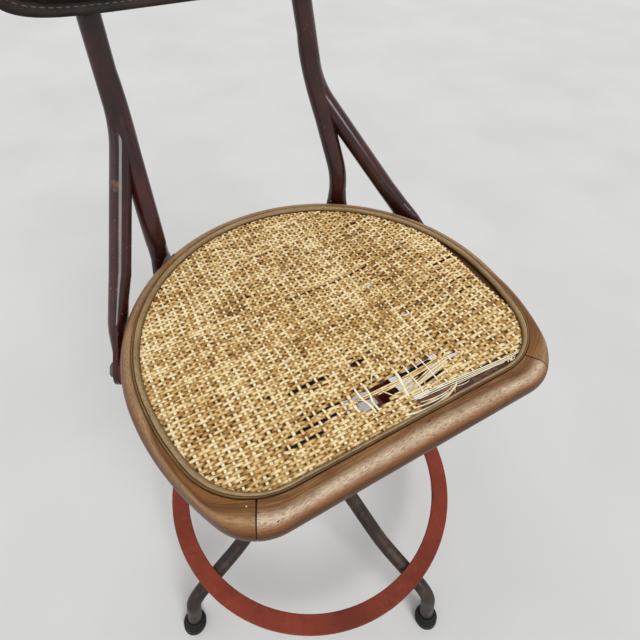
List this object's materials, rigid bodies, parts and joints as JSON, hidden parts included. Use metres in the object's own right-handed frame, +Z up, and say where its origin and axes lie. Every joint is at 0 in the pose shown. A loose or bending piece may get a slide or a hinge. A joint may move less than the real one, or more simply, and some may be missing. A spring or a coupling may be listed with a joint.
{
  "type": "operator chair",
  "caption": "Turning work seat on a height-adjustable spindle, with caned bentwood seat, padded back, bent tube legs and foot ring.",
  "frame": {"origin": "on the floor, on the axis that the seat turns on", "axes": "+Z up along the turning axis; the seat faces -Y; +X is the side that the clamp knob is on"},
  "size_m": [0.515, 0.515, 0.8643],
  "materials": {
    "leg_paint": "old satin dark brown paint, scuffed",
    "post_paint": "glossy maroon brown paint with chips",
    "ring_paint": "dull rust red primer, worn",
    "iron_paint": "dull dark red-brown paint",
    "foot_rubber": "matt, dusty",
    "bright_steel": "dull bright steel",
    "dark_steel": "blackened steel",
    "bronze": "oiled bronze",
    "knob_plastic": "black moulded",
    "plug_plastic": "black",
    "rim_wood": "mid-brown varnish, worn on the round edge",
    "bead_wood": "olive-brown varnish",
    "cane": "aged glossy cane",
    "board_wood": "dark stained plywood",
    "pad_leather": "nearly black brown, creased and shiny"
  },
  "bodies": {
    "base": {"base_hub": "leg_paint", "leg_left": "leg_paint", "leg_front": "leg_paint", "leg_right": "leg_paint", "leg_rear": "leg_paint", "foot_left": "foot_rubber", "foot_front": "foot_rubber", "foot_right": "foot_rubber", "foot_rear": "foot_rubber", "foot_ring": "ring_paint", "ring_cleats": "ring_paint", "column_tube": "leg_paint", "clamp_collar": "leg_paint"},
    "knob": {"clamp_screw": "bright_steel", "clamp_knob": "knob_plastic"},
    "lift": {"spindle": "bright_steel", "spindle_flange": "leg_paint", "lower_washer": "bronze", "keeper_washer": "bright_steel", "keeper_nut": "dark_steel"},
    "seat": {"upper_washer": "bright_steel", "lower_bush": "bronze", "upper_bush": "bronze", "seat_boss": "leg_paint", "seat_bar": "iron_paint", "front_cross_bar": "iron_paint", "side_cross_bar": "iron_paint", "rear_cross_bar": "iron_paint", "boss_bolts": "dark_steel", "rail_screws": "bright_steel", "tab_bolts": "dark_steel", "seat_hoop": "rim_wood", "front_rail": "rim_wood", "seat_bead": "bead_wood", "cane_panel": "cane", "post_left": "post_paint", "post_right": "post_paint", "brace_left": "post_paint", "brace_right": "post_paint", "post_plugs": "plug_plastic", "backrest_board": "board_wood", "backrest_pad": "pad_leather", "backrest_bolts": "dark_steel"}
  },
  "joints": [
    {"name": "seat_height", "type": "slide", "parent": "base", "child": "lift", "axis": [0, 0, 1], "range_m": [-0.045, 0.08]},
    {"name": "seat_swivel", "type": "hinge", "parent": "lift", "child": "seat", "pos_m": [0, 0, 0.45], "axis": [0, 0, 1], "continuous": true},
    {"name": "clamp_turn", "type": "hinge", "parent": "base", "child": "knob", "pos_m": [0.05, 0, 0.377], "axis": [1, 0, 0], "continuous": true}
  ]
}
